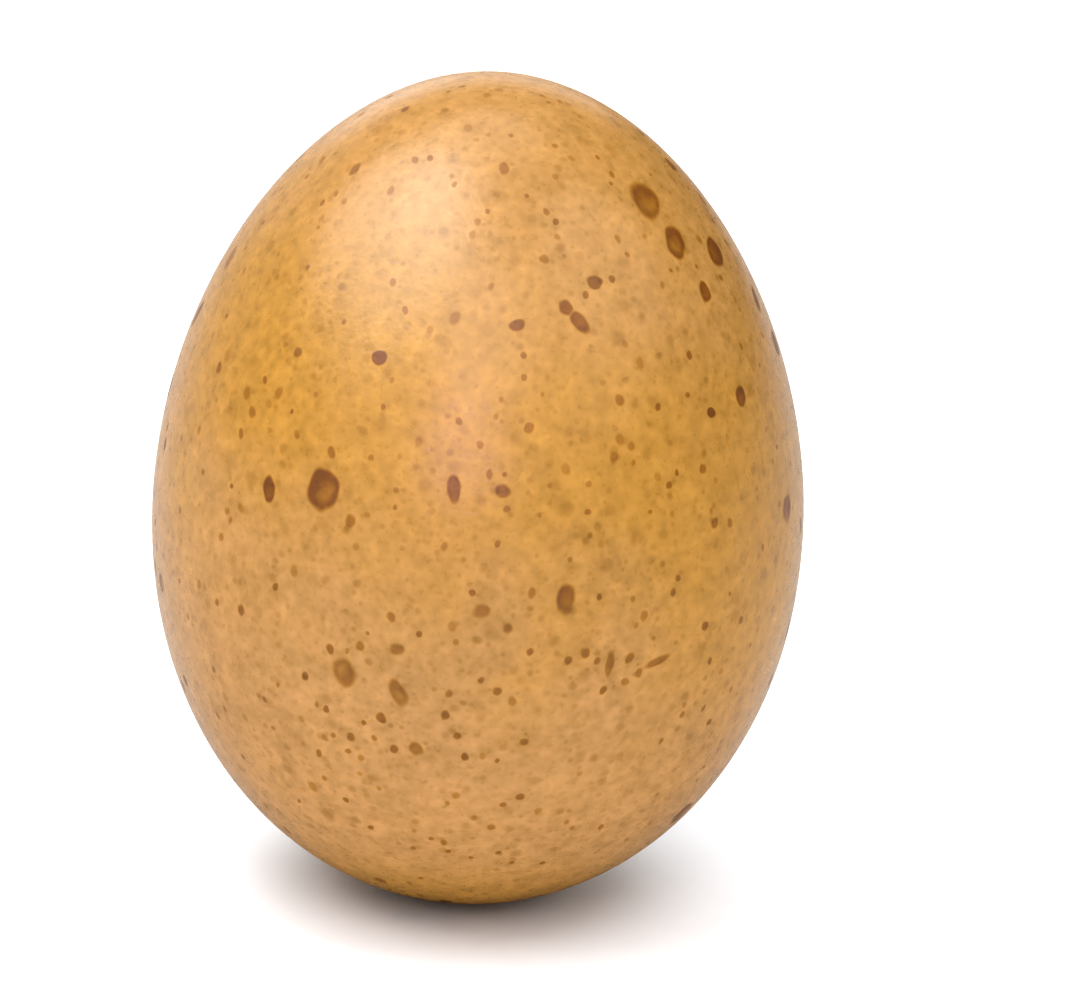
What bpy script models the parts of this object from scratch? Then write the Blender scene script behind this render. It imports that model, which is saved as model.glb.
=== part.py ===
"""A freckled brown hen's egg, standing on its blunt end with the pointed end up.

The egg is one closed solid. Its outline is a formula: an ellipse, narrowed
towards the pointed end by a taper and pulled in a little at both ends. The
outline is turned about +Z. A small flat foot is cut square to the axis at the
blunt end, and its centre is the origin. Metres, +Z up.
"""

import math

import bmesh
import bpy

# Driving dimensions, in metres
EGG_LENGTH = 0.0576    # end to end along the axis, before the foot is cut
EGG_WIDTH = 0.0442     # width of the ellipse that the outline starts from
FOOT_RADIUS = 0.0040   # radius of the flat spot on the blunt end

# Outline numbers, without units
TAPER = 0.074          # how much slimmer the pointed half is than the blunt half
END_PULL = 0.0085      # how much both ends are pulled in from the ellipse

# How finely the outline and the turn are divided
RINGS = 44
COLUMNS = 80

# Finish of the shell
SHELL_COLOR = (0.62, 0.33, 0.10, 1.0)
SHELL_ROUGHNESS = 0.45

MERGE_DISTANCE = 0.000001  # metres, closes the turn where it meets itself
RIM_ANGLE = 8.0  # degrees; only the rim of the foot bends more sharply than this


def clear_objects():
    """Empties the scene that the script starts in."""
    for old in list(bpy.data.objects):
        bpy.data.objects.remove(old, do_unlink=True)


def outline_radius(angle):
    """Distance from the axis at an outline angle, -90 degrees at the blunt end and +90 at the point."""
    rise = math.sin(angle)
    shape = 1 - TAPER * rise - END_PULL * rise * rise
    return EGG_WIDTH / 2 * math.cos(angle) * shape


def outline_height(angle):
    """Height along the axis at an outline angle, measured from the middle of the length."""
    return EGG_LENGTH / 2 * math.sin(angle)


def foot_angle():
    """The outline angle at which the blunt end is FOOT_RADIUS wide, found by halving."""
    low, high = -math.pi / 2, 0.0
    while high - low > 1e-9:
        middle = (low + high) / 2
        if outline_radius(middle) < FOOT_RADIUS:
            low = middle
        else:
            high = middle
    return high


def egg_profile():
    """Points in the XZ plane, from the foot's centre out along the foot and up to the tip."""
    start = foot_angle()
    foot_height = outline_height(start)
    points = [(0.0, 0.0, 0.0)]
    for ring in range(RINGS):
        angle = start + (math.pi / 2 - start) * ring / RINGS
        points.append((outline_radius(angle), 0.0, outline_height(angle) - foot_height))
    points.append((0.0, 0.0, outline_height(math.pi / 2) - foot_height))
    return points


def shell_material():
    material = bpy.data.materials.new("shell")
    material.use_nodes = True
    shader = material.node_tree.nodes["Principled BSDF"]
    shader.inputs["Base Color"].default_value = SHELL_COLOR
    shader.inputs["Roughness"].default_value = SHELL_ROUGHNESS
    shader.inputs["Metallic"].default_value = 0.0
    return material


def build_egg():
    """Spins the outline about +Z into one closed, smooth solid."""
    shape = bmesh.new()
    points = [shape.verts.new(point) for point in egg_profile()]
    edges = [shape.edges.new(pair) for pair in zip(points, points[1:])]
    bmesh.ops.spin(
        shape,
        geom=points + edges,
        cent=(0.0, 0.0, 0.0),
        axis=(0.0, 0.0, 1.0),
        angle=math.tau,
        steps=COLUMNS,
        use_duplicate=False,
    )
    bmesh.ops.remove_doubles(shape, verts=shape.verts, dist=MERGE_DISTANCE)
    bmesh.ops.recalc_face_normals(shape, faces=shape.faces)
    mesh = bpy.data.meshes.new("egg")
    shape.to_mesh(mesh)
    shape.free()
    mesh.shade_smooth()
    mesh.set_sharp_from_angle(angle=math.radians(RIM_ANGLE))
    mesh.materials.append(shell_material())
    egg = bpy.data.objects.new("egg", mesh)
    bpy.context.scene.collection.objects.link(egg)
    return egg


clear_objects()
build_egg()
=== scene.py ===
# %% [markdown]
# A freckled hen's egg. It stands on its blunt end on a white table, and the model of it is one solid,
# named egg. This file gives that solid its looks: a finer shell, its freckles, its finish, the table, the
# light and the camera. Everything is in metres, with +Z up and the origin in the middle of the spot that
# the egg stands on.
#
# The egg's box is read from the model first.

# %% Load the egg
import math
import random
from typing import NamedTuple

import bpy
import numpy as np
from mathutils import Matrix, Vector, noise
from mathutils.kdtree import KDTree


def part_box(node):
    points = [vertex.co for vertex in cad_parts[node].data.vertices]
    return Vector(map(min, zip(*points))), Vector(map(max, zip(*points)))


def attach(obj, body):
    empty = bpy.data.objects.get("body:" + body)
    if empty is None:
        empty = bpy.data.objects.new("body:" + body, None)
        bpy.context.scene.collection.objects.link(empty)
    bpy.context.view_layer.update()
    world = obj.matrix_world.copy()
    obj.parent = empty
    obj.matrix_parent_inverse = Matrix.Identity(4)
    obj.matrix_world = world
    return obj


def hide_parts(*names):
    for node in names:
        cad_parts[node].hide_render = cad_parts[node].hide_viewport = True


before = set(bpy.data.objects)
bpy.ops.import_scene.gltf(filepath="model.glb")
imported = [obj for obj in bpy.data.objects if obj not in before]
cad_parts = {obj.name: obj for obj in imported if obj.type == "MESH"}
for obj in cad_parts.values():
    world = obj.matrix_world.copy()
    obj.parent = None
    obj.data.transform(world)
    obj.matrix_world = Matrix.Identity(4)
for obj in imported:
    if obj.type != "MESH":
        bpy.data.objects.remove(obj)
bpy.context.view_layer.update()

MM = 0.001
egg_low, egg_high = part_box("egg")
egg_height = egg_high.z - egg_low.z
egg_middle = (egg_low + egg_high) / 2
print(f"the egg is {egg_height / MM:.2f} mm tall and {(egg_high.x - egg_low.x) / MM:.2f} mm wide")

# %% [markdown]
# The photograph looks down on the egg at a shallow angle. The egg leans a little to the right in the
# picture, and since the model stands upright, the camera is turned about its own line of sight instead.
# Its place could be found by eye, but here it is worked out: where the egg's middle shows in the picture
# and how many pixels a millimetre takes there settle the lens and the spot that the camera aims at.

# %% The camera
PICTURE_WIDTH, PICTURE_HEIGHT = 1080, 988   # pixels
EGG_MIDDLE_ACROSS, EGG_MIDDLE_DOWN = 479.2, 486.0   # pixels, where the egg's middle shows
PIXELS_PER_MM = 14.73
CAMERA_DISTANCE = 0.45
CAMERA_RISE = math.radians(18.0)   # above the table
CAMERA_LEAN = math.radians(2.53)
SENSOR_WIDTH = 36.0   # the camera's own millimetres

focal_pixels = PIXELS_PER_MM / MM * CAMERA_DISTANCE
pixel = CAMERA_DISTANCE / focal_pixels   # metres that a pixel covers at the egg
toward_camera = Vector((0, -math.cos(CAMERA_RISE), math.sin(CAMERA_RISE)))
level_right = Vector((1, 0, 0))
level_up = toward_camera.cross(level_right)
camera_right = level_right * math.cos(CAMERA_LEAN) + level_up * math.sin(CAMERA_LEAN)
camera_up = level_up * math.cos(CAMERA_LEAN) - level_right * math.sin(CAMERA_LEAN)


def add_object(name, data):
    """A new object, placed in the scene."""
    added = bpy.data.objects.new(name, data)
    bpy.context.scene.collection.objects.link(added)
    return added


def make_camera():
    """Sets the camera so that the egg shows where it does in the photograph."""
    lens = bpy.data.cameras.new("camera")
    lens.sensor_width = SENSOR_WIDTH
    lens.lens = focal_pixels * SENSOR_WIDTH / PICTURE_WIDTH
    camera = add_object("camera", lens)
    aim = egg_middle + camera_right * (PICTURE_WIDTH / 2 - EGG_MIDDLE_ACROSS) * pixel
    aim -= camera_up * (PICTURE_HEIGHT / 2 - EGG_MIDDLE_DOWN) * pixel
    turn = Matrix((camera_right, camera_up, toward_camera)).transposed()
    camera.matrix_world = Matrix.Translation(aim + toward_camera * CAMERA_DISTANCE) @ turn.to_4x4()
    bpy.context.scene.camera = camera
    return camera


camera = make_camera()
print(f"the camera is {camera.location.z / MM:.0f} mm up, with a {camera.data.lens:.0f} mm lens")

# %% [markdown]
# The shell is turned, like clay on a wheel: one outline, carried round the axis. The outline is a
# formula, an ellipse that is slimmer at the pointed end. The model has it with 44 rings, which shows as
# flat facets close up. A subdivision surface would shrink those facets' corners, so the finer shell
# repeats the formula with many more rings.

# %% The outline
EGG_LENGTH = 57.6 * MM   # before the foot is cut
EGG_WIDTH = 44.2 * MM   # of the ellipse, before the taper
FOOT_RADIUS = 4.0 * MM
TAPER = 0.074
END_PULL = 0.0085
BODY_RINGS = 228
FOOT_RINGS = 7
CLOSE_ENOUGH = 1e-9   # radians


def outline(angle):
    """Distance from the axis, and height from the middle of the length, at an outline angle."""
    rise = math.sin(angle)
    radius = EGG_WIDTH / 2 * math.cos(angle) * (1 - TAPER * rise - END_PULL * rise * rise)
    return radius, EGG_LENGTH / 2 * rise


def foot_angle():
    """The outline angle where the blunt end is as wide as the foot, found by halving."""
    low, high = -math.pi / 2, 0.0
    while high - low > CLOSE_ENOUGH:
        middle = (low + high) / 2
        low, high = (middle, high) if outline(middle)[0] < FOOT_RADIUS else (low, middle)
    return high


def shell_rings():
    """Radius and height of each ring, from the one next to the foot's centre up, and the tip's height."""
    start = foot_angle()
    foot_height = outline(start)[1]
    rings = [(FOOT_RADIUS * step / FOOT_RINGS, 0.0) for step in range(1, FOOT_RINGS)]
    for step in range(BODY_RINGS):
        radius, height = outline(start + (math.pi / 2 - start) * step / BODY_RINGS)
        rings.append((radius, height - foot_height))
    return rings, outline(math.pi / 2)[1] - foot_height


rings, tip_height = shell_rings()
print(f"the outline has {len(rings)} rings and is {tip_height / MM:.2f} mm tall")

# %% [markdown]
# The mesh is written column by column, each a strip from the foot's centre to the tip. A spin tool would
# make the same strips, but by hand they can carry a flat map as well: round the egg by up the egg, both
# from 0 to 1, with the seam at the back.

# %% The shell
COLUMNS = 400
SEAM_TURN = 0.25   # of a whole turn from +X, which is at the back


def ring_points(radius, height):
    """The points of one ring, starting at the seam."""
    turns = [math.tau * (column / COLUMNS + SEAM_TURN) for column in range(COLUMNS)]
    return [(radius * math.cos(turn), radius * math.sin(turn), height) for turn in turns]


def column_faces(column):
    """The faces between two columns, as numbers of points: a triangle, the squares, a triangle."""
    beside = (column + 1) % COLUMNS
    faces = [(0, 1 + beside, 1 + column)]
    for ring in range(len(rings) - 1):
        low, high = 1 + ring * COLUMNS, 1 + (ring + 1) * COLUMNS
        faces.append((low + column, low + beside, high + beside, high + column))
    last, tip = 1 + (len(rings) - 1) * COLUMNS, 1 + len(rings) * COLUMNS
    faces.append((last + column, last + beside, tip))
    return faces


def column_map(column, climb):
    """Where the corners of those faces are on the flat map."""
    left, right = column / COLUMNS, (column + 1) / COLUMNS
    between = (left + right) / 2
    places = [(between, climb[0]), (right, climb[1]), (left, climb[1])]
    for low, high in zip(climb[1:-2], climb[2:-1]):
        places += [(left, low), (right, low), (right, high), (left, high)]
    return places + [(left, climb[-2]), (right, climb[-2]), (between, climb[-1])]


def build_shell():
    """The turned shell, with a fan of triangles at the foot's centre and another at the tip."""
    points = [(0.0, 0.0, 0.0)]
    for radius, height in rings:
        points += ring_points(radius, height)
    points.append((0.0, 0.0, tip_height))
    steps = [math.dist(below, above) for below, above in zip([(0, 0)] + rings, rings + [(0, tip_height)])]
    climb = np.concatenate([[0.0], np.cumsum(steps)]) / sum(steps)
    faces, places = [], []
    for column in range(COLUMNS):
        faces += column_faces(column)
        places += column_map(column, climb)
    mesh = bpy.data.meshes.new("egg_shell")
    mesh.from_pydata(points, [], faces)
    mesh.uv_layers.new(name="OFBake").data.foreach_set("uv", np.array(places, np.float32).ravel())
    mesh.shade_smooth()
    return add_object("egg_shell", mesh)


shell = build_shell()
print(f"the shell has {len(shell.data.polygons)} faces")

# %% [markdown]
# A real shell isn't as smooth as the formula. Under a lamp its surface shows low swells some millimetres
# apart and a fine unevenness between them. All of it is far too low to see in the outline, but it breaks
# up the shine. The swells could be left to the material, and then they would be missing from the mesh. So
# the points are moved here, each along its own normal and always inwards, and not at the foot, which
# stays flat.

# %% The swells of the shell
SWELLS = ((6.5, 0.030), (2.1, 0.010), (0.9, 0.003))   # millimetres from swell to swell, and their height
FOOT_FADE = 5.0 * MM   # height over which the swells begin


def lay_swells(shell):
    """Moves the shell's points inwards, and gives the deepest move."""
    mesh = shell.data
    total = sum(height for _, height in SWELLS)
    moves = []
    for point in mesh.vertices:
        place = point.co / MM
        swell = sum(height * noise.noise(place / span) for span, height in SWELLS)
        depth = (total - swell) / 2 * MM * min(1.0, point.co.z / FOOT_FADE)
        moves.append(point.normal * depth)
    for point, move in zip(mesh.vertices, moves):
        point.co -= move
    mesh.update()
    return max(move.length for move in moves)


print(f"the swells are up to {lay_swells(shell) / MM:.3f} mm deep")

# %% [markdown]
# Freckles are drops of pigment that the hen leaves on the shell as the egg turns on its way out. Each is
# a blot with a crisp, uneven edge. Many are drawn out along the egg, and the large ones are darkest on
# one side, where the drop ran together, with a paler middle.
#
# They could be painted as a picture wrapped round the egg, but a picture has pixels. Here each freckle is
# a place on the shell with a size, and the material draws its edge. A freckle that is set one by one is
# given by the pixel that it shows at: a ray from the camera through that pixel finds its place on the
# shell.

# %% A freckle
class Freckle(NamedTuple):
    """One blot: its middle, the two directions across it with their half sizes, and how it is coloured."""
    middle: Vector
    across: Vector
    along: Vector
    half_width: float
    half_height: float
    tone: float   # 1 is the darkest pigment
    hollow: float   # how much paler its middle is
    dark_side: float   # where its rim is darkest, in radians from across to along


def freckle_on(middle, normal, upward, width, height, lean, tone, hollow, dark_side):
    """A freckle at a point of the shell. Width, height and lean are as they show with upward held up."""
    upright = (upward - normal * upward.dot(normal)).normalized()
    level = upright.cross(normal)
    lean = math.radians(lean)
    along = upright * math.cos(lean) + level * math.sin(lean)
    across = level * math.cos(lean) - upright * math.sin(lean)
    half_sizes = width / 2 * MM, height / 2 * MM
    return Freckle(middle, across, along, *half_sizes, tone, hollow, math.radians(dark_side))


def seen_at(pixel_across, pixel_down):
    """The point of the shell that shows at a pixel, and its normal."""
    from_middle = camera_right * (pixel_across - PICTURE_WIDTH / 2)
    from_middle += camera_up * (PICTURE_HEIGHT / 2 - pixel_down)
    sight = (from_middle / focal_pixels - toward_camera).normalized()
    found, point, normal, _ = shell.ray_cast(camera.location, sight)
    if not found:
        raise ValueError(f"the pixel {pixel_across}, {pixel_down} misses the egg")
    return point, normal


bpy.context.view_layer.update()   # so that rays meet the moved points
nearest, _ = seen_at(EGG_MIDDLE_ACROSS, EGG_MIDDLE_DOWN)
print(f"the shell shows at the egg's middle where it is {nearest.z / MM:.1f} mm up")

# %% [markdown]
# The large freckles on the side that the photograph shows are set one by one. Each has its pixel, its
# real size in millimetres and how it looks: how dark it is, how much paler in the middle, and which side
# is darkest.

# %% The large freckles
# name: pixel across and down, width and height in mm, lean in degrees, tone, hollow, dark side in degrees
LARGE_FRECKLES = {
    "left cheek": (323, 490, 2.3, 2.8, 0, 1.0, 0.60, 125),
    "left cheek, beside it": (269, 489, 1.0, 1.7, 0, 0.85, 0.15, 90),
    "right shoulder, first": (646, 201, 2.4, 2.9, 20, 0.80, 0.50, 120),
    "right shoulder, second": (676, 242, 1.8, 2.4, 25, 0.95, 0.55, 100),
    "right shoulder, third": (715, 252, 1.8, 2.3, 28, 0.95, 0.30, 60),
    "right shoulder, low": (705, 292, 1.1, 1.4, 10, 0.85, 0.20, 90),
    "middle, tall": (454, 489, 0.9, 1.8, 0, 0.76, 0.20, 90),
    "middle, beside it": (503, 491, 0.95, 0.95, 0, 0.65, 0.10, 90),
    "lower middle": (566, 599, 1.2, 1.9, 0, 0.70, 0.35, 100),
    "lower left": (344, 672, 1.6, 1.9, 0, 0.65, 0.45, -30),
    "lower left, split": (398, 692, 1.0, 2.1, -20, 0.62, 0.40, 60),
    "upper left": (380, 357, 1.0, 1.0, 0, 1.0, 0.0, 0),
    "slant, upper end": (566, 308, 0.9, 1.1, -30, 0.74, 0.00, 0),
    "slant, lower end": (579, 322, 1.0, 1.6, -35, 0.75, 0.10, -90),
    "above the slant": (594, 282, 1.1, 0.9, 0, 0.75, 0.10, 60),
    "left of the slant": (517, 325, 1.1, 0.75, -20, 0.74, 0.10, 0),
    "right flank, tall": (741, 397, 1.1, 1.4, 0, 0.85, 0.20, 90),
    "right flank, round": (711, 412, 0.9, 0.75, 0, 0.95, 0.10, 90),
    "right edge": (787, 509, 1.6, 1.8, 0, 0.70, 0.20, 90),
    "right edge, high": (756, 299, 1.0, 1.9, 15, 0.75, 0.00, 0),
    "low right, upright": (610, 664, 0.6, 1.7, 0, 0.52, 0.10, 90),
    "low right, slanting": (658, 661, 0.55, 2.0, 65, 0.55, 0.10, 90),
    "low middle": (482, 611, 1.1, 0.9, 0, 0.48, 0.10, 60),
    "low left": (397, 649, 0.95, 0.8, 0, 0.50, 0.10, 90),
    "low left, round": (416, 749, 0.9, 1.1, 0, 0.54, 0.20, 90),
    "shoulder's edge": (702, 199, 1.0, 1.2, 20, 0.45, 0.00, 0),
}


def set_freckle(across, down, width, height, lean, tone, hollow, dark_side):
    """A freckle set one by one, upright as the photograph shows it."""
    middle, normal = seen_at(across, down)
    return freckle_on(middle, normal, camera_up, width, height, lean, tone, hollow, dark_side)


freckles = [set_freckle(*row) for row in LARGE_FRECKLES.values()]
print(f"{len(freckles)} large freckles are set by eye")

# %% [markdown]
# The small freckles that can be told apart in the photograph are listed too, in groups by the part of
# the egg that they are on. A seeded draw gives each its exact size, since at their size only the place
# can be read.

# %% The small freckles
SMALL_WIDTH = (0.42, 0.68)   # millimetres, smallest and largest
SMALL_STRETCH = (0.9, 1.5)   # how many times as tall as wide
SMALL_TONE = (0.32, 0.62)
SMALL_LEAN = 25   # degrees to either side
# region: pixels across and down of each small freckle there
SMALL_FRECKLES = {
    "tip": ((405, 109), (487, 95), (468, 128)),
    "crown": ((415, 160), (504, 169), (555, 146), (555, 177), (391, 190)),
    "left shoulder": ((322, 160), (355, 169), (344, 201), (298, 352), (227, 356), (219, 368), (265, 380)),
    "upper middle": ((556, 222), (557, 237), (544, 259), (472, 235), (477, 222), (455, 318)),
    "right shoulder": ((612, 279), (618, 239), (699, 239), (662, 285), (689, 355), (640, 363)),
    "left cheek": ((247, 393), (279, 393), (252, 412), (199, 430), (241, 434), (297, 434), (331, 452)),
    "left flank": ((241, 508), (227, 511), (221, 537), (350, 521), (367, 515), (294, 571), (199, 584)),
    "low left flank": ((217, 602), (241, 610), (305, 676), (330, 649), (360, 646), (326, 709), (351, 737)),
    "middle": ((419, 442), (459, 421), (529, 428), (507, 509), (472, 593), (532, 593), (530, 652)),
    "right cheek": ((620, 400), (658, 407), (620, 440), (631, 446), (614, 457), (566, 469), (703, 469)),
    "right flank": ((658, 477), (669, 485), (588, 512), (715, 523), (730, 523), (678, 578), (741, 620)),
    "low right flank": ((644, 616), (705, 626), (597, 661), (568, 661), (585, 653), (630, 658), (603, 690)),
    "below the middle": ((508, 629), (452, 626), (391, 617)),
    "lower belly": ((497, 691), (512, 701), (445, 715), (381, 718)),
    "low": ((361, 758), (394, 749), (457, 736), (465, 757), (524, 742), (709, 722), (639, 673), (625, 682)),
    "bottom": ((313, 787), (346, 800), (456, 795), (520, 797), (503, 805), (538, 811)),
    "foot": ((474, 818), (491, 827)),
}
SEED = 11
draw = random.Random(SEED)


def small_freckle(across, down):
    """A small freckle at a pixel, of a size and tone from the draw."""
    width = draw.uniform(*SMALL_WIDTH)
    height = width * draw.uniform(*SMALL_STRETCH)
    tone = draw.uniform(*SMALL_TONE)
    lean = draw.uniform(-SMALL_LEAN, SMALL_LEAN)
    return set_freckle(across, down, width, height, lean, tone, 0.0, 0.0)


for region in SMALL_FRECKLES.values():
    freckles += [small_freckle(*place) for place in region]
print(f"{len(freckles)} freckles with the small ones")

# %% [markdown]
# The photograph shows a little over a third of the shell. The sides and the back get freckles of the same
# kinds, as many for their area as the front has. They are strewn by a seeded draw: a point on the shell,
# kept only if it is clear of the others, and for the larger kinds only if the camera can't see it well.
# The smallest kind is strewn over the front too, where it fills in what is too fine to set by eye.

# %% Freckles on the rest of the shell
FRONT_EDGE = 0.22   # a point counts as seen where its normal turns more than this towards the camera
CLEARANCE = 1.25   # times the two freckles' half sizes together
LOWEST = 0.4 * MM   # no strewn freckle has its middle lower, so the foot stays clear
LEAST_STRETCH = 0.95   # how many times as tall as wide, at least
STREWN_LEAN = 30   # degrees to either side
TRIES = 40   # for each freckle, before the rest of its kind is given up


class Kind(NamedTuple):
    """Freckles of about one size. A pair of numbers is the smallest and the largest."""
    count: int
    width: tuple   # millimetres
    most_stretch: float   # how many times as tall as wide, at most
    tone: tuple
    hollow: tuple
    on_front: bool


KINDS = {
    "blots": Kind(20, (1.2, 2.4), 1.5, (0.75, 1.0), (0.25, 0.65), False),
    "spots": Kind(90, (0.65, 1.15), 1.9, (0.55, 0.95), (0.0, 0.35), False),
    "flecks": Kind(160, (0.42, 0.65), 1.6, (0.40, 0.80), (0.0, 0.1), False),
    "dots": Kind(420, (0.30, 0.46), 1.5, (0.28, 0.60), (0.0, 0.0), True),
}


def strewn_point(faces, areas):
    """The middle and the normal of a face, drawn evenly over the shell's area."""
    face = faces[int(np.searchsorted(areas, draw.random() * areas[-1]))]
    return face.center.copy(), face.normal.copy()


def strewn_look(kind):
    """Lean, tone, hollow and dark side from the draw."""
    lean = draw.uniform(-STREWN_LEAN, STREWN_LEAN)
    return lean, draw.uniform(*kind.tone), draw.uniform(*kind.hollow), draw.uniform(0, 360)


def strew(shell, freckles):
    """Adds the drawn freckles, kind by kind, largest first."""
    faces = shell.data.polygons
    areas = np.cumsum([face.area for face in faces])
    placed = [(freckle.middle, max(freckle.half_width, freckle.half_height)) for freckle in freckles]
    for name, kind in KINDS.items():
        left, tries = kind.count, 0
        while left and tries < TRIES * kind.count:
            tries += 1
            middle, normal = strewn_point(faces, areas)
            seen = normal.dot((camera.location - middle).normalized()) > FRONT_EDGE
            width = draw.uniform(*kind.width)
            height = width * draw.uniform(LEAST_STRETCH, kind.most_stretch)
            reach = height / 2 * MM
            crowded = any((middle - other).length < CLEARANCE * (reach + size) for other, size in placed)
            if crowded or middle.z < LOWEST or (seen and not kind.on_front):
                continue
            look = strewn_look(kind)
            freckles.append(freckle_on(middle, normal, Vector((0, 0, 1)), width, height, *look))
            placed.append((middle, reach))
            left -= 1
        print(f"{kind.count - left} {name} are strewn")


strew(shell, freckles)

# %% [markdown]
# The material has to know, at each spot of the shell, how far it is from a freckle. So every face of the
# mesh gets its nearest freckle and the next nearest, found with a tree that sorts the faces by place.
# Looking through all faces for each freckle would give the same, only slower.

# %% Find the freckles near each face
EDGE_REACH = 1.7   # half sizes that a freckle's uneven edge can reach
FACE_REACH = 0.30 * MM   # from a face's middle to its corners, with some to spare


def distance_from(freckle, place):
    """How far a place is from a freckle's middle, in its half sizes."""
    away = place - freckle.middle
    width_share = away.dot(freckle.across) / freckle.half_width
    height_share = away.dot(freckle.along) / freckle.half_height
    return math.hypot(width_share, height_share)


def nearest_freckles(shell, freckles):
    """For each face, the numbers of its nearest and next nearest freckle, or -1."""
    faces = shell.data.polygons
    tree = KDTree(len(faces))
    for face in faces:
        tree.insert(face.center, face.index)
    tree.balance()
    distances = np.full((len(faces), 2), np.inf)
    numbers = np.full((len(faces), 2), -1)
    for number, freckle in enumerate(freckles):
        widest = max(freckle.half_width, freckle.half_height)
        for center, face, _ in tree.find_range(freckle.middle, EDGE_REACH * widest + FACE_REACH):
            distance = distance_from(freckle, center)
            if distance < distances[face, 0]:
                distances[face, 1], numbers[face, 1] = distances[face, 0], numbers[face, 0]
                distances[face, 0], numbers[face, 0] = distance, number
            elif distance < distances[face, 1]:
                distances[face, 1], numbers[face, 1] = distance, number
    return numbers


numbers = nearest_freckles(shell, freckles)
near_count, next_count = np.count_nonzero(numbers >= 0, axis=0)
print(f"{near_count} faces have a freckle near, and {next_count} have two")

# %% [markdown]
# The mesh stores what was found: for each corner of a face, its place as seen from the freckle, and for
# the face, the freckle's look. A place is measured in the freckle's own half sizes, so its edge is where
# that distance is one. Between the corners it runs straight, which makes the edge exact however small the
# freckle is beside the face. The third number of a place is the same all over a freckle. It picks the
# noise that shapes its edge, so that no two edges are alike.

# %% Store the freckles in the mesh
FAR_AWAY = 9.0   # half sizes, for faces with no freckle near
NOISE_APART = 3.7   # from one freckle's slice of the noise to the next one's


def corners_of(mesh):
    """For each corner of each face, the number of its face and its place."""
    corner_face = np.repeat(np.arange(len(mesh.polygons)), [face.loop_total for face in mesh.polygons])
    corner_point = np.zeros(len(mesh.loops), np.int32)
    mesh.loops.foreach_get("vertex_index", corner_point)
    points = np.zeros(len(mesh.vertices) * 3, np.float32)
    mesh.vertices.foreach_get("co", points)
    return corner_face, points.reshape(-1, 3)[corner_point]


def store(mesh, name, domain, vectors):
    """Adds an attribute with a vector for each corner or face."""
    stored = mesh.attributes.new(name, "FLOAT_VECTOR", domain)
    stored.data.foreach_set("vector", vectors.astype(np.float32).ravel())


def store_freckles(mesh, numbers, freckles):
    """Writes the places and looks of each face's two freckles as attributes of the mesh."""
    corner_face, corners = corners_of(mesh)
    middles = np.array([freckle.middle for freckle in freckles])
    across = np.array([freckle.across / freckle.half_width for freckle in freckles])
    along = np.array([freckle.along / freckle.half_height for freckle in freckles])
    looks = np.array([(freckle.tone, freckle.hollow, freckle.dark_side) for freckle in freckles])
    for order, name in enumerate(("near", "next")):
        number = numbers[:, order]
        corner_number = number[corner_face]
        away = corners - middles[corner_number]
        across_share = np.einsum("ij,ij->i", away, across[corner_number])
        along_share = np.einsum("ij,ij->i", away, along[corner_number])
        place = np.stack([across_share, along_share, corner_number * NOISE_APART], 1)
        place[corner_number < 0] = FAR_AWAY
        look = looks[number]
        look[number < 0] = 0.0
        store(mesh, f"{name}_place", "CORNER", place)
        store(mesh, f"{name}_look", "FACE", look)
        print(f"the mesh stores {len(place)} of {name}_place and {len(look)} of {name}_look")


store_freckles(shell.data, numbers, freckles)

# %% [markdown]
# Materials are made of nodes, and wiring them by hand takes four lines for every sum. The helpers here
# keep it short: each adds one node, joins what is handed to it and gives back what comes out, so that a
# chain of nodes reads like a formula.

# %% Helpers for nodes
COLOR_A, COLOR_B, COLOR_RESULT = 6, 7, 2   # a mix node has sockets of many kinds; these are its colours
NOISE_SPREAD = 4.0   # noise stays near its middle, so this spreads it


def add_node(tree, kind, **settings):
    """A node of a kind, with its properties set."""
    node = tree.nodes.new(kind)
    for name, value in settings.items():
        setattr(node, name, value)
    return node


def feed(tree, socket, value):
    """Links an output to a socket, or sets the socket to a plain value."""
    if isinstance(value, bpy.types.NodeSocket):
        tree.links.new(value, socket)
    else:
        socket.default_value = value


def reckon(tree, operation, *values):
    """A math node: the operation on one to three numbers."""
    node = add_node(tree, "ShaderNodeMath", operation=operation)
    for socket, value in zip(node.inputs, values):
        feed(tree, socket, value)
    return node.outputs["Value"]


def reckon_vector(tree, operation, *values, result="Vector"):
    """A vector math node: the operation on one or two vectors."""
    node = add_node(tree, "ShaderNodeVectorMath", operation=operation)
    for socket, value in zip(node.inputs, values):
        feed(tree, socket, value)
    return node.outputs[result]


def scale_vector(tree, vector, factor):
    """A vector times a number."""
    node = add_node(tree, "ShaderNodeVectorMath", operation="SCALE")
    feed(tree, node.inputs["Vector"], vector)
    feed(tree, node.inputs["Scale"], factor)
    return node.outputs["Vector"]


def split_vector(tree, vector):
    """The three numbers of a vector."""
    node = add_node(tree, "ShaderNodeSeparateXYZ")
    feed(tree, node.inputs["Vector"], vector)
    return node.outputs["X"], node.outputs["Y"], node.outputs["Z"]


def flat_vector(tree, x, y):
    """A vector from two numbers, with nothing in Z."""
    node = add_node(tree, "ShaderNodeCombineXYZ")
    feed(tree, node.inputs["X"], x)
    feed(tree, node.inputs["Y"], y)
    return node.outputs["Vector"]


def smooth_step(tree, value, start, end, low=0.0, high=1.0):
    """Runs softly from low to high as the value goes from start to end."""
    node = add_node(tree, "ShaderNodeMapRange", interpolation_type="SMOOTHSTEP")
    given = {"Value": value, "From Min": start, "From Max": end, "To Min": low, "To Max": high}
    for name, number in given.items():
        feed(tree, node.inputs[name], number)
    return node.outputs["Result"]


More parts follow.
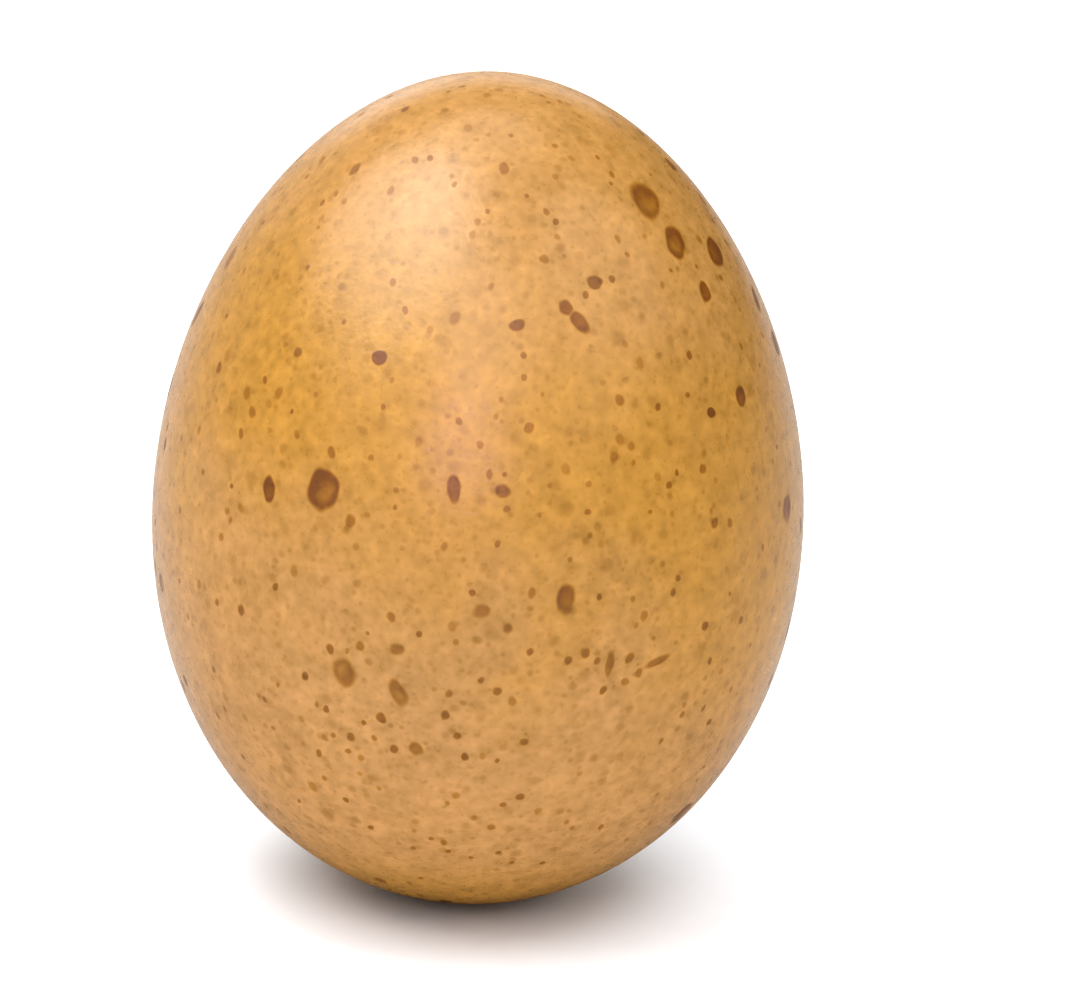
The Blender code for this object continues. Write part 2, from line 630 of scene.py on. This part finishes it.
def blend_colors(tree, blend, factor, first, second):
    """A colour mix node."""
    node = add_node(tree, "ShaderNodeMix", data_type="RGBA", blend_type=blend)
    feed(tree, node.inputs["Factor"], factor)
    feed(tree, node.inputs[COLOR_A], first)
    feed(tree, node.inputs[COLOR_B], second)
    return node.outputs[COLOR_RESULT]


def add_noise(tree, place, scale, detail):
    """Cloudy noise in space that swings from about -1 to 1."""
    node = add_node(tree, "ShaderNodeTexNoise", noise_dimensions="3D")
    feed(tree, node.inputs["Vector"], place)
    node.inputs["Scale"].default_value = scale
    node.inputs["Detail"].default_value = detail
    return reckon(tree, "MULTIPLY_ADD", node.outputs["Fac"], NOISE_SPREAD, -NOISE_SPREAD / 2)


print("the helpers for nodes are ready")

# %% [markdown]
# Grain is the unevenness that every dull surface has. It is one node group, used on the shell at several
# sizes and on the table, since a group can be placed again with other values and stays the same inside.
# It puts out a number that swings round zero.

# %% Grain
def start_group(name, inputs, outputs):
    """A node group with named sockets: (name, socket type, start value) in, (name, socket type) out."""
    group = bpy.data.node_groups.new(name, "ShaderNodeTree")
    for label, kind, value in inputs:
        socket = group.interface.new_socket(name=label, in_out="INPUT", socket_type=f"NodeSocket{kind}")
        if value is not None:
            socket.default_value = value
    for label, kind in outputs:
        group.interface.new_socket(name=label, in_out="OUTPUT", socket_type=f"NodeSocket{kind}")
    given, out = group.nodes.new("NodeGroupInput").outputs, group.nodes.new("NodeGroupOutput").inputs
    return group, given, out


def use_group(tree, group, **values):
    """Places a node group in a tree and feeds its inputs. An underscore in a name stands for a space."""
    node = add_node(tree, "ShaderNodeGroup", node_tree=group)
    for name, value in values.items():
        feed(tree, node.inputs[name.replace("_", " ")], value)
    return node.outputs


def grain_group():
    """Noise of a given size in millimetres, from about -1 to 1 times the amount."""
    group, given, out = start_group(
        "grain",
        [("Place", "Vector", None), ("Size", "Float", 1.0), ("Amount", "Float", 1.0)],
        [("Value", "Float")],
    )
    place = scale_vector(group, given["Place"], reckon(group, "DIVIDE", 1.0, given["Size"]))
    swing = add_noise(group, place, scale=1.0, detail=1.0)
    feed(group, out["Value"], reckon(group, "MULTIPLY", swing, given["Amount"]))
    return group


grain = grain_group()
print(f"the group {grain.name} has {len(grain.nodes)} nodes")

# %% [markdown]
# Specks are too small and too many to set one by one. A Voronoi texture scatters points in space, and the
# shell's surface cuts through the little balls round them. A ball that is cut near its middle shows as a
# wide dot and one cut near its edge as a fine dot, so the sizes come out as mixed as on the real shell.
# Each point also has random numbers of its own: one says whether it holds a ball, one how large the ball
# is, and one, its luck, is put out for the material to use.

# %% Specks
SMALLEST_BALL = 0.5   # as a share of the largest
BALL_CORE = 0.30   # the share of a ball's radius where its dot is at its full strength


def specks_group():
    """Round dots strewn in space. Cell and Radius are millimetres, and Share is how many cells hold one."""
    group, given, out = start_group(
        "specks",
        [
            ("Place", "Vector", None),
            ("Cell", "Float", 1.0),
            ("Radius", "Float", 0.2),
            ("Share", "Float", 0.5),
        ],
        [("Mask", "Float"), ("Luck", "Float")],
    )
    cells = add_node(group, "ShaderNodeTexVoronoi", voronoi_dimensions="3D", feature="F1")
    cells.inputs["Scale"].default_value = 1.0
    place = scale_vector(group, given["Place"], reckon(group, "DIVIDE", 1.0, given["Cell"]))
    feed(group, cells.inputs["Vector"], place)
    away = reckon(group, "MULTIPLY", cells.outputs["Distance"], given["Cell"])
    lots = add_node(group, "ShaderNodeSeparateColor")
    feed(group, lots.inputs["Color"], cells.outputs["Color"])
    kept = reckon(group, "LESS_THAN", lots.outputs["Red"], given["Share"])
    size = reckon(group, "MULTIPLY_ADD", lots.outputs["Green"], 1 - SMALLEST_BALL, SMALLEST_BALL)
    radius = reckon(group, "MULTIPLY", given["Radius"], size)
    mask = smooth_step(group, away, reckon(group, "MULTIPLY", radius, BALL_CORE), radius, 1.0, 0.0)
    feed(group, out["Mask"], reckon(group, "MULTIPLY", mask, kept))
    feed(group, out["Luck"], lots.outputs["Blue"])
    return group


specks = specks_group()
print(f"the group {specks.name} has {len(specks.nodes)} nodes")

# %% [markdown]
# A freckle's edge is where the distance from its middle is one, pushed in and out by noise. The noise is
# read at the place within the freckle, so a large blot and a small dot both have edges as uneven as their
# size calls for. A faint freckle runs out softly and a dark one is crisp. The middle is paler by the
# freckle's hollow, and more so on the side away from its dark side.

# %% A freckle's outline and tone
RIPPLE_SCALE, RIPPLE_DETAIL = 0.8, 0.6
SOFT_EDGE = 0.56   # half sizes over which the faintest freckle runs out, to either side of its edge
CRISPER = 0.40   # how much less that is for the darkest
PALING_ACROSS = (-0.5, 0.6)   # half sizes towards the dark side: where the paling starts to end and ends
PALING_OUT = (0.35, 0.95)   # the same, outwards from the middle
PALING_LEFT = 0.25   # the share of the paling that stays past its end
THICKEN = 1.2   # times the tone, up to the darkest


def freckle_group():
    """How much pigment there is, from 0 to 1, at a place that is measured from a freckle's middle."""
    group, given, out = start_group(
        "freckle",
        [("Place", "Vector", None), ("Look", "Vector", None), ("Unevenness", "Float", 0.15)],
        [("Pigment", "Float")],
    )
    across, along, _ = split_vector(group, given["Place"])
    tone, hollow, dark_side = split_vector(group, given["Look"])
    flat = flat_vector(group, across, along)
    ripple = add_noise(group, given["Place"], RIPPLE_SCALE, RIPPLE_DETAIL)
    push = reckon(group, "MULTIPLY", ripple, given["Unevenness"])
    distance = reckon(group, "ADD", reckon_vector(group, "LENGTH", flat, result="Value"), push)
    softness = reckon(group, "MULTIPLY_ADD", tone, -CRISPER, SOFT_EDGE)
    start, end = reckon(group, "SUBTRACT", 1.0, softness), reckon(group, "ADD", 1.0, softness)
    blot = smooth_step(group, distance, start, end, 1.0, 0.0)
    dark_way = flat_vector(group, reckon(group, "COSINE", dark_side), reckon(group, "SINE", dark_side))
    facing = reckon_vector(group, "DOT_PRODUCT", flat, dark_way, result="Value")
    paling = reckon(
        group, "MULTIPLY",
        smooth_step(group, facing, *PALING_ACROSS, 1.0, PALING_LEFT),
        smooth_step(group, distance, *PALING_OUT, 1.0, PALING_LEFT),
    )
    kept = reckon(group, "SUBTRACT", 1.0, reckon(group, "MULTIPLY", hollow, paling))
    pigment = reckon(group, "MULTIPLY", reckon(group, "MULTIPLY", tone, kept), THICKEN)
    pigment = reckon(group, "MINIMUM", pigment, 1.0)
    feed(group, out["Pigment"], reckon(group, "MULTIPLY", pigment, blot))
    return group


blot_shape = freckle_group()
print(f"the group {blot_shape.name} has {len(blot_shape.nodes)} nodes")

# %% [markdown]
# The shell's ground is orange tan, and not the same all over. The belly, the front and the left flank,
# which face the lamps, are rosy: partly the shell's own tint and partly a painted sheen. The shoulders are
# ochre and the crown is a little rosy again. The band just above the table is ochre as well, as painted
# shade beside the contact shadow. Rings of colour would look painted, so clouds some millimetres wide
# shift where one runs into the other.

# %% The ground
# ochre: the shell's own tint, and in the band just above the table also painted shade
OCHRE = (0.478, 0.227, 0.032, 1.0)
# rosy: partly the shell's own tint, partly a painted sheen on the side that faces the lamps
ROSY_TINT_AND_SHEEN = (0.487, 0.244, 0.074, 1.0)
# the rosy painted sheen lies low along this way: on the belly, the front and the left
ROSY_WAY = (0.35, 0.25, 1.0)   # up the egg and a little to the right and back
ROSY_BELLY = (34.0, 10.0)   # millimetres along that way, where it is ochre and where rosy
ROSY_CROWN = (34.0, 50.0)
CROWN_SHARE = 0.55   # how rosy the crown is
# painted shade: over these heights above the table the rosy sheen gives way to ochre, beside the contact
# shadow
PAINTED_FOOT_SHADE = (2.5, 8.5)   # millimetres above the table
CLOUD_SIZE = 7.0   # millimetres
CLOUD_AMOUNT = 0.5
CLOUD_SHIFT = 10.0   # millimetres


def rosy_tint_and_sheen_share(tree, place, clouds):
    """How rosy the ground is, from 0 to 1: the shell's own tint with a painted sheen on the lit side, and
    none just above the table, which is painted shade.
    """
    height = reckon_vector(tree, "DOT_PRODUCT", place, ROSY_WAY, result="Value")
    height = reckon(tree, "MULTIPLY_ADD", clouds, CLOUD_SHIFT, height)
    above_table = split_vector(tree, place)[2]
    # painted shade: the band just above the table is kept ochre
    foot = smooth_step(tree, above_table, *PAINTED_FOOT_SHADE)
    belly = reckon(tree, "MULTIPLY", smooth_step(tree, height, *ROSY_BELLY), foot)
    crown = smooth_step(tree, height, *ROSY_CROWN, 0.0, CROWN_SHARE)
    return reckon(tree, "MAXIMUM", belly, crown)


material = bpy.data.materials.new("egg_shell")
material.use_nodes = True
tree = material.node_tree
place = scale_vector(tree, add_node(tree, "ShaderNodeTexCoord").outputs["Object"], 1 / MM)
clouds = use_group(tree, grain, Place=place, Size=CLOUD_SIZE, Amount=CLOUD_AMOUNT)["Value"]
# how rosy the ground is: own tint and painted sheen, with painted shade just above the table
rosy_tint_and_sheen = rosy_tint_and_sheen_share(tree, place, clouds)
ground = blend_colors(tree, "MIX", rosy_tint_and_sheen, OCHRE, ROSY_TINT_AND_SHEEN)
print(f"the ground's colour takes {len(tree.nodes)} nodes")

# %% [markdown]
# Close up the ground is mottled: pale and dark patches of several sizes, down to a sandy grain, lie over
# each other. One noise with many octaves would do as well, but then each size couldn't be set by itself.
# The pale and the dark mottle multiply the ground, so the same mottling suits ochre and rosy.

# %% The mottling
PALE_MOTTLE = (1.22, 1.22, 1.30, 1.0)
DARK_MOTTLE = (0.78, 0.77, 0.66, 1.0)
HALF_WAY = 0.5   # between two colours of a mix
CLOUD_MOTTLE = 0.12
PATCHES = {3.0: 0.12, 1.5: 0.14, 0.75: 0.25}   # millimetres, and how strong patches of that size are
SAND_SIZE = 0.42   # millimetres
SAND_MOTTLE = 0.08


def mottle(tree, place, clouds, sand):
    """The colour that the ground is multiplied by."""
    paleness = reckon(tree, "MULTIPLY_ADD", clouds, CLOUD_MOTTLE, HALF_WAY)
    for size, amount in PATCHES.items():
        patches = use_group(tree, grain, Place=place, Size=size, Amount=amount)["Value"]
        paleness = reckon(tree, "ADD", paleness, patches)
    paleness = reckon(tree, "MULTIPLY_ADD", sand, SAND_MOTTLE, paleness)
    return blend_colors(tree, "MIX", paleness, DARK_MOTTLE, PALE_MOTTLE)


sand = use_group(tree, grain, Place=place, Size=SAND_SIZE, Amount=1.0)["Value"]
ground = blend_colors(tree, "MULTIPLY", 1.0, ground, mottle(tree, place, clouds, sand))
print(f"with the mottling it takes {len(tree.nodes)}")

# %% [markdown]
# Three sizes of speck lie over the ground: pepper, finer dust, and the pores, which are finer still and
# show as dark pinpricks. They are all one group with other values. Where the ground is rosy more cells
# hold a speck. Where two specks meet, the darker one shows.

# %% The specks and pores
SPECK_TINT = (0.56, 0.46, 0.10, 1.0)   # what the darkest speck multiplies the ground by
SPECK_SHARE = 0.60   # of the cells, where the ground is ochre
ROSY_MORE = 0.25   # and how many more where it is rosy
PORE_SHARE = 0.85


class Speck(NamedTuple):
    """Specks of one size, with their cell and largest radius in millimetres."""
    cell: float
    radius: float
    faintest: float   # the tone of the faintest
    luck: float   # how much darker the darkest is


PEPPER = Speck(1.70, 0.82, 0.14, 0.38)
DUST = Speck(1.10, 0.52, 0.14, 0.52)
PORES = Speck(0.66, 0.37, 0.05, 0.36)


def speck_tones(tree, place, speck, share):
    """How dark the specks of one size are, and a mask of where they are."""
    dots = use_group(tree, specks, Place=place, Cell=speck.cell, Radius=speck.radius, Share=share)
    tone = reckon(tree, "MULTIPLY_ADD", dots["Luck"], speck.luck, speck.faintest)
    return reckon(tree, "MULTIPLY", dots["Mask"], tone), dots["Mask"]


share = reckon(tree, "MULTIPLY_ADD", rosy_tint_and_sheen, ROSY_MORE, SPECK_SHARE)
pepper_tone, _ = speck_tones(tree, place, PEPPER, share)
dust_tone, _ = speck_tones(tree, place, DUST, share)
pore_tone, pore_mask = speck_tones(tree, place, PORES, PORE_SHARE)
speck_tone = reckon(tree, "MAXIMUM", pore_tone, reckon(tree, "MAXIMUM", pepper_tone, dust_tone))
ground = blend_colors(tree, "MULTIPLY", speck_tone, ground, SPECK_TINT)
print(f"with the specks it takes {len(tree.nodes)}")

# %% [markdown]
# Pigment darkens the ground as a coloured film does: it holds back blue the most and red the least. A
# plain mix towards brown would look laid on. A Gamma node raises the film's colour to the power of its
# thickness, which is how light dims on its way through, and the result multiplies the ground. Where the
# mesh stores two freckles, the thicker pigment shows, and the sand of the shell makes it a little uneven.

# %% The pigment
FILM = (0.33, 0.19, 0.012, 1.0)   # what the thickest pigment lets through
THICKNESS_POWER = 1.4   # thin pigment is thinner still than its tone
GRANULES = 0.12


def stored_vector(tree, name):
    """What the mesh stores under a name."""
    node = add_node(tree, "ShaderNodeAttribute", attribute_type="GEOMETRY", attribute_name=name)
    return node.outputs["Vector"]


def pigment_share(tree, sand):
    """How much pigment there is, from 0 to 1."""
    blots = []
    for name in ("near", "next"):
        place, look = stored_vector(tree, f"{name}_place"), stored_vector(tree, f"{name}_look")
        blots.append(use_group(tree, blot_shape, Place=place, Look=look)["Pigment"])
    granules = reckon(tree, "MULTIPLY_ADD", sand, GRANULES, 1.0)
    pigment = reckon(tree, "MULTIPLY", reckon(tree, "MAXIMUM", *blots), granules)
    return reckon(tree, "MINIMUM", pigment, 1.0)


def through_film(tree, thickness):
    """The colour of light that went through pigment."""
    node = add_node(tree, "ShaderNodeGamma")
    node.inputs["Color"].default_value = FILM
    feed(tree, node.inputs["Gamma"], reckon(tree, "POWER", thickness, THICKNESS_POWER))
    return node.outputs["Color"]


pigment = pigment_share(tree, sand)
shell_color = blend_colors(tree, "MULTIPLY", 1.0, ground, through_film(tree, pigment))
print(f"with the pigment it takes {len(tree.nodes)}")

# %% [markdown]
# The finish is satin: dull enough that a lamp shows as a soft patch, and a little duller where there is
# pigment, which lies on the shell as a crust. Sand, pores and pigment also stand up or sink in by a few
# thousandths of a millimetre. That is too little for the mesh, so a bump tilts the light there instead.

# %% The finish
SHELL_ROUGHNESS = 0.30
SHELL_SPECULAR = 0.30
SAND_DULLNESS = 0.04
PIGMENT_DULLNESS = 0.12
SAND_RELIEF = 0.005   # millimetres
PORE_RELIEF = -0.006
PIGMENT_RELIEF = 0.008

shader = tree.nodes["Principled BSDF"]
shader.inputs["Specular IOR Level"].default_value = SHELL_SPECULAR
feed(tree, shader.inputs["Base Color"], shell_color)

dullness = reckon(tree, "MULTIPLY_ADD", sand, SAND_DULLNESS, SHELL_ROUGHNESS)
feed(tree, shader.inputs["Roughness"], reckon(tree, "MULTIPLY_ADD", pigment, PIGMENT_DULLNESS, dullness))

pore_relief = reckon(tree, "MULTIPLY", pore_mask, PORE_RELIEF)
relief = reckon(tree, "MULTIPLY_ADD", sand, SAND_RELIEF, pore_relief)
relief = reckon(tree, "MULTIPLY_ADD", pigment, PIGMENT_RELIEF, relief)
bump = add_node(tree, "ShaderNodeBump")
bump.inputs["Distance"].default_value = MM
feed(tree, bump.inputs["Height"], relief)
feed(tree, shader.inputs["Normal"], bump.outputs["Normal"])

shell.data.materials.append(material)
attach(shell, "root")
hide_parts("egg")
print(f"the shell's material has {len(tree.nodes)} nodes")

# %% [markdown]
# The table is plain white, so bright that it shows as paper white everywhere but in the egg's shadow. It
# is a wide round sheet with a faint grain.
#
# A real studio's table is lit unevenly, and what it throws back on the egg can't be read from a picture
# where it is burnt out. So the table has one colour for the camera and others for the egg: bright in
# front and dim behind as it lights the shell, and the other way round as the shine mirrors it. A light
# path node tells them apart. The other way would be cards and flags round the egg, and those would show
# in other views.

# %% The table
TABLE_RADIUS = 1.5
TABLE_SIDES = 128
TABLE_ROUGHNESS = 0.9
TABLE_SPECULAR = 0.2
TABLE_WHITE = (0.91, 0.93, 0.96, 1.0)
TABLE_SHADE = (0.88, 0.90, 0.93, 1.0)
FIBRE_SIZE = 3.0   # millimetres
FIBRE_AMOUNT = 0.25
FRONT_THROWN = (0.86, 0.86, 0.86, 1.0)   # as the table lights the egg from in front
BACK_THROWN = (0.25, 0.25, 0.25, 1.0)   # and from behind
FRONT_MIRRORED = (0.08, 0.08, 0.08, 1.0)   # as the egg's shine shows it, in front
BACK_MIRRORED = (0.45, 0.45, 0.45, 1.0)   # and behind
TABLE_TURN = 0.025   # from the egg's axis to where it is wholly one or the other


def build_table():
    """A flat disc just under the egg's foot."""
    turns = [math.tau * side / TABLE_SIDES for side in range(TABLE_SIDES)]
    rim = [(TABLE_RADIUS * math.cos(turn), TABLE_RADIUS * math.sin(turn), 0.0) for turn in turns]
    mesh = bpy.data.meshes.new("table")
    mesh.from_pydata(rim, [], [tuple(range(TABLE_SIDES))])
    return add_object("table", mesh)


def table_material():
    """Matt white with a faint grain to the camera, and greys to the egg."""
    material = bpy.data.materials.new("table")
    material.use_nodes = True
    tree = material.node_tree
    shader = tree.nodes["Principled BSDF"]
    shader.inputs["Specular IOR Level"].default_value = TABLE_SPECULAR
    shader.inputs["Roughness"].default_value = TABLE_ROUGHNESS
    where = add_node(tree, "ShaderNodeTexCoord").outputs["Object"]
    place = scale_vector(tree, where, 1 / MM)
    fibres = use_group(tree, grain, Place=place, Size=FIBRE_SIZE, Amount=FIBRE_AMOUNT)["Value"]
    white = blend_colors(tree, "MIX", reckon(tree, "ADD", fibres, HALF_WAY), TABLE_WHITE, TABLE_SHADE)
    behind = smooth_step(tree, split_vector(tree, where)[1], -TABLE_TURN, TABLE_TURN)
    thrown = blend_colors(tree, "MIX", behind, FRONT_THROWN, BACK_THROWN)
    mirrored = blend_colors(tree, "MIX", behind, FRONT_MIRRORED, BACK_MIRRORED)
    rays = add_node(tree, "ShaderNodeLightPath").outputs
    to_egg = blend_colors(tree, "MIX", rays["Is Glossy Ray"], thrown, mirrored)
    feed(tree, shader.inputs["Base Color"], blend_colors(tree, "MIX", rays["Is Camera Ray"], to_egg, white))
    return material


table = build_table()
table.data.materials.append(table_material())
print(f"the table is {2 * TABLE_RADIUS:.0f} m wide")

# %% [markdown]
# The photograph was lit for a catalogue, softly from all round, with one stronger lamp at the upper left.
# Each lamp here is a soft panel at the same distance, so that what counts is only where it is and how
# wide it looks from the egg. Some panels light the shell and don't show in its shine, and the gleams show
# in the shine and light nothing. If one set did both, lamps wide enough to light softly would lay a grey
# veil over the freckles. The two lamps behind throw the short dark shadow forward under the egg.
#
# The gleams are the patch on the left shoulder with a wider glow round it, the faint upright band down
# the middle with its rosy foot, and the pale rims. The ceiling lights the table alone and keeps it white.

# %% The lamps
LAMP_DISTANCE = 0.70


class Lamp(NamedTuple):
    """A soft round or oval panel, as the egg sees it."""
    turn: float   # degrees, 0 towards the camera's side and positive to the right
    rise: float   # degrees above the table
    width: float   # degrees
    height: float   # degrees
    brightness: float   # 1 shows as paper white
    color: tuple
    lights: bool = True   # a matt surface sees it
    shines: bool = True   # a glossy surface shows it


WHITE = (1.0, 1.0, 1.0)
LAMPS = {
    "upper_left": Lamp(-62, 60, 50, 44, 3.9, WHITE, shines=False),
    "upper_left_gleam": Lamp(-56, 66, 40, 34, 5.2, WHITE, lights=False),
    "upper_left_glow": Lamp(-74, 54, 66, 48, 5.9, WHITE, lights=False),
    "upper_right": Lamp(66, 62, 34, 30, 4.0, WHITE, shines=False),
    "over_camera": Lamp(-2, 42, 36, 32, 3.0, (1.0, 0.97, 0.98)),
    "front_glow": Lamp(0, 36, 110, 56, 1.5, WHITE, lights=False),
    "middle_gleam": Lamp(-3, 44, 16, 40, 2.0, (1.0, 0.90, 0.95), lights=False),
    "rosy_gleam": Lamp(-7, 18, 26, 24, 8.0, (0.60, 0.46, 1.0), lights=False),
    "right_gleam": Lamp(74, 46, 46, 40, 2.2, WHITE, lights=False),
    "top_gleam": Lamp(-165, 74, 42, 34, 2.8, WHITE, lights=False),
    "left_rim_gleam": Lamp(-140, 12, 70, 40, 0.6, WHITE, lights=False),
    "overhead": Lamp(-100, 74, 40, 34, 2.5, WHITE, shines=False),
    "low_front": Lamp(0, 6, 90, 20, 0.6, WHITE, shines=False),
    "low_left": Lamp(-95, 10, 50, 28, 0.55, WHITE, shines=False),
    "right": Lamp(90, 22, 44, 34, 0.8, WHITE, shines=False),
    "low_back": Lamp(-175, 17, 44, 26, 1.1, WHITE),
    "high_back": Lamp(-178, 52, 54, 30, 2.8, WHITE, shines=False),
}
CEILING = Lamp(0, 90, 140, 140, 0.78, WHITE)


def across_view(degrees):
    """How wide a panel is that looks this wide from the egg."""
    return 2 * LAMP_DISTANCE * math.tan(math.radians(degrees / 2))


def hang_lamp(name, lamp, lit=None):
    """An area lamp that faces the egg's middle. It lights one collection, or everything."""
    turn, rise = math.radians(lamp.turn), math.radians(lamp.rise)
    away = Vector((math.sin(turn) * math.cos(rise), -math.cos(turn) * math.cos(rise), math.sin(rise)))
    light = bpy.data.lights.new(name, "AREA")
    light.shape = "ELLIPSE"
    light.size, light.size_y = across_view(lamp.width), across_view(lamp.height)
    panel_area = math.pi / 4 * light.size * light.size_y
    light.energy = lamp.brightness * math.pi * panel_area
    light.color = lamp.color
    hung = add_object(name, light)
    hung.location = egg_middle + away * LAMP_DISTANCE
    hung.rotation_euler = away.to_track_quat("Z", "Y").to_euler()
    hung.visible_camera = False
    hung.visible_diffuse = lamp.lights
    hung.visible_glossy = lamp.shines
    hung.light_linking.receiver_collection = lit


for name, lamp in LAMPS.items():
    hang_lamp(name, lamp)
table_alone = bpy.data.collections.new("table_alone")
table_alone.objects.link(table)
hang_lamp("ceiling", CEILING, table_alone)
print(f"{sum(lamp.lights for lamp in LAMPS.values())} lamps light the egg and",
      f"{sum(lamp.shines for lamp in LAMPS.values())} show in its shine")

# %% [markdown]
# Past the table's edge is the room. The camera sees it as the same paper white, which could also be a
# curved sheet of paper. To everything else it is a soft dim glow, so that no side of the egg is black.

# %% The room
ROOM_GLOW = 0.05   # the strength of a light grey


def light_room():
    """Paper white to the camera, and a dim grey to everything else."""
    world = bpy.data.worlds.new("room")
    world.use_nodes = True
    bpy.context.scene.world = world
    tree = world.node_tree
    tree.nodes.clear()
    seen = add_node(tree, "ShaderNodeBackground")
    seen.inputs["Color"].default_value = (1, 1, 1, 1)
    glow = add_node(tree, "ShaderNodeBackground")
    glow.inputs["Strength"].default_value = ROOM_GLOW
    choice = add_node(tree, "ShaderNodeMixShader")
    feed(tree, choice.inputs["Fac"], add_node(tree, "ShaderNodeLightPath").outputs["Is Camera Ray"])
    tree.links.new(glow.outputs["Background"], choice.inputs[1])
    tree.links.new(seen.outputs["Background"], choice.inputs[2])
    tree.links.new(choice.outputs["Shader"], add_node(tree, "ShaderNodeOutputWorld").inputs["Surface"])
    return world


bpy.context.scene.view_settings.view_transform = "Standard"
print(f"the {light_room().name} glows with a strength of {ROOM_GLOW}")
